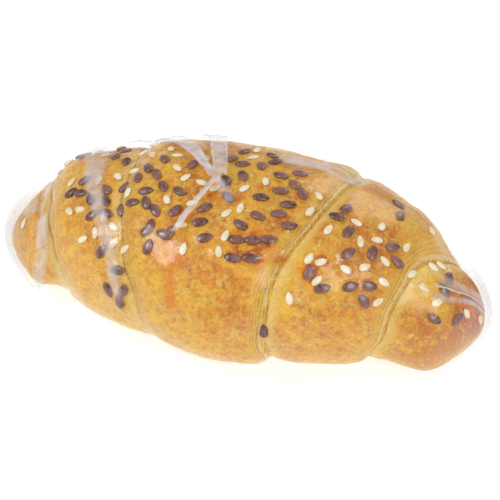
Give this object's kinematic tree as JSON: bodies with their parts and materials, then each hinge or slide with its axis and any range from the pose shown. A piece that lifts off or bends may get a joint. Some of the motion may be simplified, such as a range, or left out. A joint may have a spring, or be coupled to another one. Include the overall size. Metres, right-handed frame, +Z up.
{
  "type": "film-wrapped seeded croissant",
  "caption": "Rolled butter croissant with a golden layered crust strewn with linseed and sesame, resting in a tight wrap of clear perforated film.",
  "frame": {"origin": "centre of the footprint, on the surface that the wrapped croissant rests on", "axes": "+Z up, +X along the croissant towards its right horn, -Y towards its front"},
  "size_m": [0.155, 0.0784, 0.052],
  "materials": {
    "crust": "baked and glazed crust, golden brown on the crests and pale in the laminated valleys",
    "film": "clear glossy polypropylene film",
    "linseed": "polished brown seed coat",
    "sesame": "matt ivory seed"
  },
  "bodies": {
    "root": {"croissant_body": "crust", "film_wrap": "film", "linseed_01": "linseed", "linseed_02": "linseed", "linseed_03": "linseed", "linseed_04": "linseed", "linseed_05": "linseed", "linseed_06": "linseed", "linseed_07": "linseed", "linseed_08": "linseed", "linseed_09": "linseed", "linseed_10": "linseed", "linseed_11": "linseed", "linseed_12": "linseed", "linseed_13": "linseed", "linseed_14": "linseed", "linseed_15": "linseed", "linseed_16": "linseed", "linseed_17": "linseed", "linseed_18": "linseed", "linseed_19": "linseed", "linseed_20": "linseed", "linseed_21": "linseed", "linseed_22": "linseed", "linseed_23": "linseed", "linseed_24": "linseed", "linseed_25": "linseed", "linseed_26": "linseed", "linseed_27": "linseed", "linseed_28": "linseed", "sesame_01": "sesame", "sesame_02": "sesame", "sesame_03": "sesame", "sesame_04": "sesame", "sesame_05": "sesame", "sesame_06": "sesame", "sesame_07": "sesame", "sesame_08": "sesame", "sesame_09": "sesame", "sesame_10": "sesame", "sesame_11": "sesame", "sesame_12": "sesame", "sesame_13": "sesame", "sesame_14": "sesame", "sesame_15": "sesame", "sesame_16": "sesame", "sesame_17": "sesame", "sesame_18": "sesame", "sesame_19": "sesame", "sesame_20": "sesame", "sesame_21": "sesame", "sesame_22": "sesame", "sesame_23": "sesame", "sesame_24": "sesame", "sesame_25": "sesame", "sesame_26": "sesame", "sesame_27": "sesame", "sesame_28": "sesame"}
  },
  "joints": []
}
